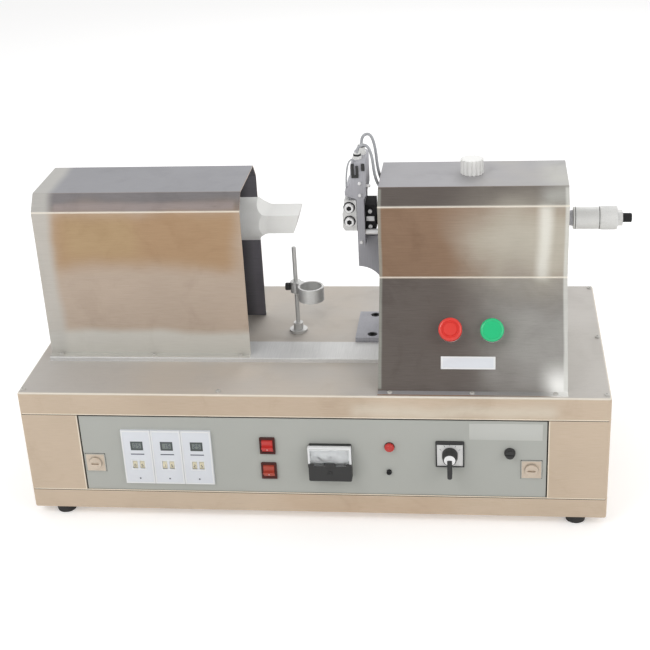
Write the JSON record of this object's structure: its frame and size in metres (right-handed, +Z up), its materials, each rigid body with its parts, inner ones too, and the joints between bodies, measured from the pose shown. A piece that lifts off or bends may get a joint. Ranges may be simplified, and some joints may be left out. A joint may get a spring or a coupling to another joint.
{
  "type": "tube sealing machine",
  "caption": "Benchtop ultrasonic tube sealer: steel cabinet, horn head, pneumatic anvil head, tube holder and a control panel with timers, meter and switches.",
  "frame": {"origin": "centre of the bounding box at floor level, under the feet", "axes": "+X from the horn head to the anvil head along the cabinet, +Y away from the operator, +Z up"},
  "size_m": [0.8324, 0.4003, 0.5],
  "materials": {
    "cabinet_steel": "brushed stainless sheet",
    "cover_steel": "brushed stainless sheet, polished at the bends",
    "bar_steel": "ground steel bar",
    "panel_grey": "pale grey paint, satin",
    "foot_rubber": "moulded black rubber",
    "screw_steel": "bright zinc",
    "timer_plastic": "white film on light plastic",
    "wheel_plastic": "cream plastic",
    "black_plastic": "moulded black plastic",
    "grey_plastic": "grey moulded plastic",
    "red_plastic": "glossy red plastic",
    "green_plastic": "glossy green plastic",
    "lamp_red": "clear red lens in a bright ring",
    "bezel_metal": "nickel plate",
    "trimmer_metal": "dull metal",
    "window_clear": "clear acrylic",
    "needle_black": "fine black",
    "frame_metal": "milled and satin",
    "stack_metal": "turned",
    "horn_metal": "satin, fine blasted",
    "cylinder_metal": "anodised tube",
    "bright_steel": "turned and ground",
    "fitting_white": "white plastic",
    "lead_grey": "clear grey jacket",
    "cup_metal": "turned",
    "generator_metal": "zinc chassis with its circuits",
    "valve_metal": "anodised",
    "brass_fittings": "nickel and brass"
  },
  "bodies": {
    "machine": {"air_cylinder": "cylinder_metal", "back_panel": "cabinet_steel", "base_top": "cabinet_steel", "base_tray": "cabinet_steel", "bed_bar": "bar_steel", "booster": "stack_metal", "button_bezels": "bezel_metal", "cam_switch_body": "grey_plastic", "case_screws": "screw_steel", "control_panel": "panel_grey", "fan_frame": "black_plastic", "feet": "foot_rubber", "fuse_holder": "black_plastic", "head_frame": "frame_metal", "holder_post": "bright_steel", "horn": "horn_metal", "left_cover": "cover_steel", "left_end_plate": "cover_steel", "meter_case": "black_plastic", "meter_window": "window_clear", "pilot_lamp": "lamp_red", "rear_fittings": "brass_fittings", "right_cover": "cover_steel", "rocker_housings": "black_plastic", "side_panel_left": "cabinet_steel", "side_panel_right": "cabinet_steel", "solenoid_valve": "valve_metal", "stack_stand": "frame_metal", "timer_cases": "timer_plastic", "transducer": "stack_metal", "ultrasonic_generator": "generator_metal"},
    "anvil_carriage": {"carriage_plate": "bright_steel", "anvil_block": "bright_steel", "anvil_screws": "screw_steel", "hose_fittings": "fitting_white", "piston_rod": "bright_steel", "guide_rods": "bright_steel", "signal_leads": "lead_grey"},
    "adjuster": {"adjuster_knob": "bright_steel", "adjuster_locknut": "bright_steel"},
    "stop_screw": {"stop_spindle": "bright_steel"},
    "top_knob": {"cover_knob": "fitting_white"},
    "stop_button": {"red_button": "red_plastic"},
    "start_button": {"green_button": "green_plastic"},
    "rocker_upper": {"upper_rocker": "red_plastic"},
    "rocker_lower": {"lower_rocker": "red_plastic"},
    "needle": {"meter_needle": "needle_black"},
    "trimmer": {"power_trimmer": "trimmer_metal"},
    "mode_switch": {"cam_switch_knob": "black_plastic"},
    "lock_left": {"panel_lock_left": "bezel_metal"},
    "lock_right": {"panel_lock_right": "bezel_metal"},
    "tube_arm": {"holder_arm": "cup_metal"},
    "arm_screw": {"holder_screw": "black_plastic"},
    "fan": {"fan_rotor": "black_plastic"},
    "timer_1_tens": {"timer_1_tens_wheel": "wheel_plastic"},
    "timer_1_units": {"timer_1_units_wheel": "wheel_plastic"},
    "timer_2_tens": {"timer_2_tens_wheel": "wheel_plastic"},
    "timer_2_units": {"timer_2_units_wheel": "wheel_plastic"},
    "timer_3_tens": {"timer_3_tens_wheel": "wheel_plastic"},
    "timer_3_units": {"timer_3_units_wheel": "wheel_plastic"}
  },
  "joints": [
    {"name": "anvil_slide", "type": "slide", "parent": "machine", "child": "anvil_carriage", "axis": [-1, 0, 0], "range_m": [0, 0.0605], "deforming": ["signal_leads"]},
    {"name": "adjuster_turn", "type": "hinge", "parent": "machine", "child": "adjuster", "pos_m": [0.36675, 0, 0.378], "axis": [1, 0, 0], "range_deg": [-720, 720]},
    {"name": "stop_slide", "type": "slide", "parent": "machine", "child": "stop_screw", "axis": [1, 0, 0], "range_m": [-0.003, 0.003]},
    {"name": "top_knob_turn", "type": "hinge", "parent": "machine", "child": "top_knob", "pos_m": [0.20175, -0.0075, 0.455], "axis": [0, 0, 1], "continuous": true},
    {"name": "stop_button_press", "type": "slide", "parent": "machine", "child": "stop_button", "axis": [0, -0.8424, 0.5388], "range_m": [-0.005, 0], "stiffness_N_per_m": 600, "springref_m": 0.001},
    {"name": "start_button_press", "type": "slide", "parent": "machine", "child": "start_button", "axis": [0, -0.8424, 0.5388], "range_m": [-0.005, 0], "stiffness_N_per_m": 600, "springref_m": 0.001},
    {"name": "rocker_upper_tilt", "type": "hinge", "parent": "machine", "child": "rocker_upper", "pos_m": [-0.07375, -0.178, 0.119], "axis": [1, 0, 0], "range_deg": [0, 16]},
    {"name": "rocker_lower_tilt", "type": "hinge", "parent": "machine", "child": "rocker_lower", "pos_m": [-0.07375, -0.178, 0.0795], "axis": [1, 0, 0], "range_deg": [0, 16]},
    {"name": "needle_swing", "type": "hinge", "parent": "machine", "child": "needle", "pos_m": [0.012, -0.186, 0.089], "axis": [0, 1, 0], "range_deg": [0, 90], "stiffness_Nm_per_rad": 0.0001},
    {"name": "trimmer_turn", "type": "hinge", "parent": "machine", "child": "trimmer", "pos_m": [0.09135, -0.179, 0.0806], "axis": [0, -1, 0], "range_deg": [-270, 0]},
    {"name": "mode_switch_turn", "type": "hinge", "parent": "machine", "child": "mode_switch", "pos_m": [0.17375, -0.19, 0.11], "axis": [0, -1, 0], "range_deg": [-60, 60]},
    {"name": "lock_left_turn", "type": "hinge", "parent": "machine", "child": "lock_left", "pos_m": [-0.31825, -0.18, 0.0875], "axis": [0, -1, 0], "range_deg": [-90, 0]},
    {"name": "lock_right_turn", "type": "hinge", "parent": "machine", "child": "lock_right", "pos_m": [0.28225, -0.18, 0.0875], "axis": [0, -1, 0], "range_deg": [0, 90]},
    {"name": "tube_arm_height", "type": "slide", "parent": "machine", "child": "tube_arm", "axis": [0, 0, 1], "range_m": [-0.04, 0.05]},
    {"name": "arm_screw_turn", "type": "hinge", "parent": "tube_arm", "child": "arm_screw", "pos_m": [-0.06325, 0.018, 0.268], "axis": [1, 0, 0], "continuous": true},
    {"name": "fan_spin", "type": "hinge", "parent": "machine", "child": "fan", "pos_m": [-0.24625, 0.17, 0.102], "axis": [0, 1, 0], "continuous": true},
    {"name": "timer_1_tens_turn", "type": "hinge", "parent": "machine", "child": "timer_1_tens", "pos_m": [-0.26125, -0.1738, 0.086], "axis": [1, 0, 0], "continuous": true},
    {"name": "timer_1_units_turn", "type": "hinge", "parent": "machine", "child": "timer_1_units", "pos_m": [-0.25125, -0.1738, 0.086], "axis": [1, 0, 0], "continuous": true},
    {"name": "timer_2_tens_turn", "type": "hinge", "parent": "machine", "child": "timer_2_tens", "pos_m": [-0.21925, -0.1738, 0.086], "axis": [1, 0, 0], "continuous": true},
    {"name": "timer_2_units_turn", "type": "hinge", "parent": "machine", "child": "timer_2_units", "pos_m": [-0.20925, -0.1738, 0.086], "axis": [1, 0, 0], "continuous": true},
    {"name": "timer_3_tens_turn", "type": "hinge", "parent": "machine", "child": "timer_3_tens", "pos_m": [-0.17725, -0.1738, 0.086], "axis": [1, 0, 0], "continuous": true},
    {"name": "timer_3_units_turn", "type": "hinge", "parent": "machine", "child": "timer_3_units", "pos_m": [-0.16725, -0.1738, 0.086], "axis": [1, 0, 0], "continuous": true}
  ],
  "couplings": [
    {"joint": "stop_slide", "follows": "adjuster_turn", "m_per_rad": 0.0002387}
  ]
}
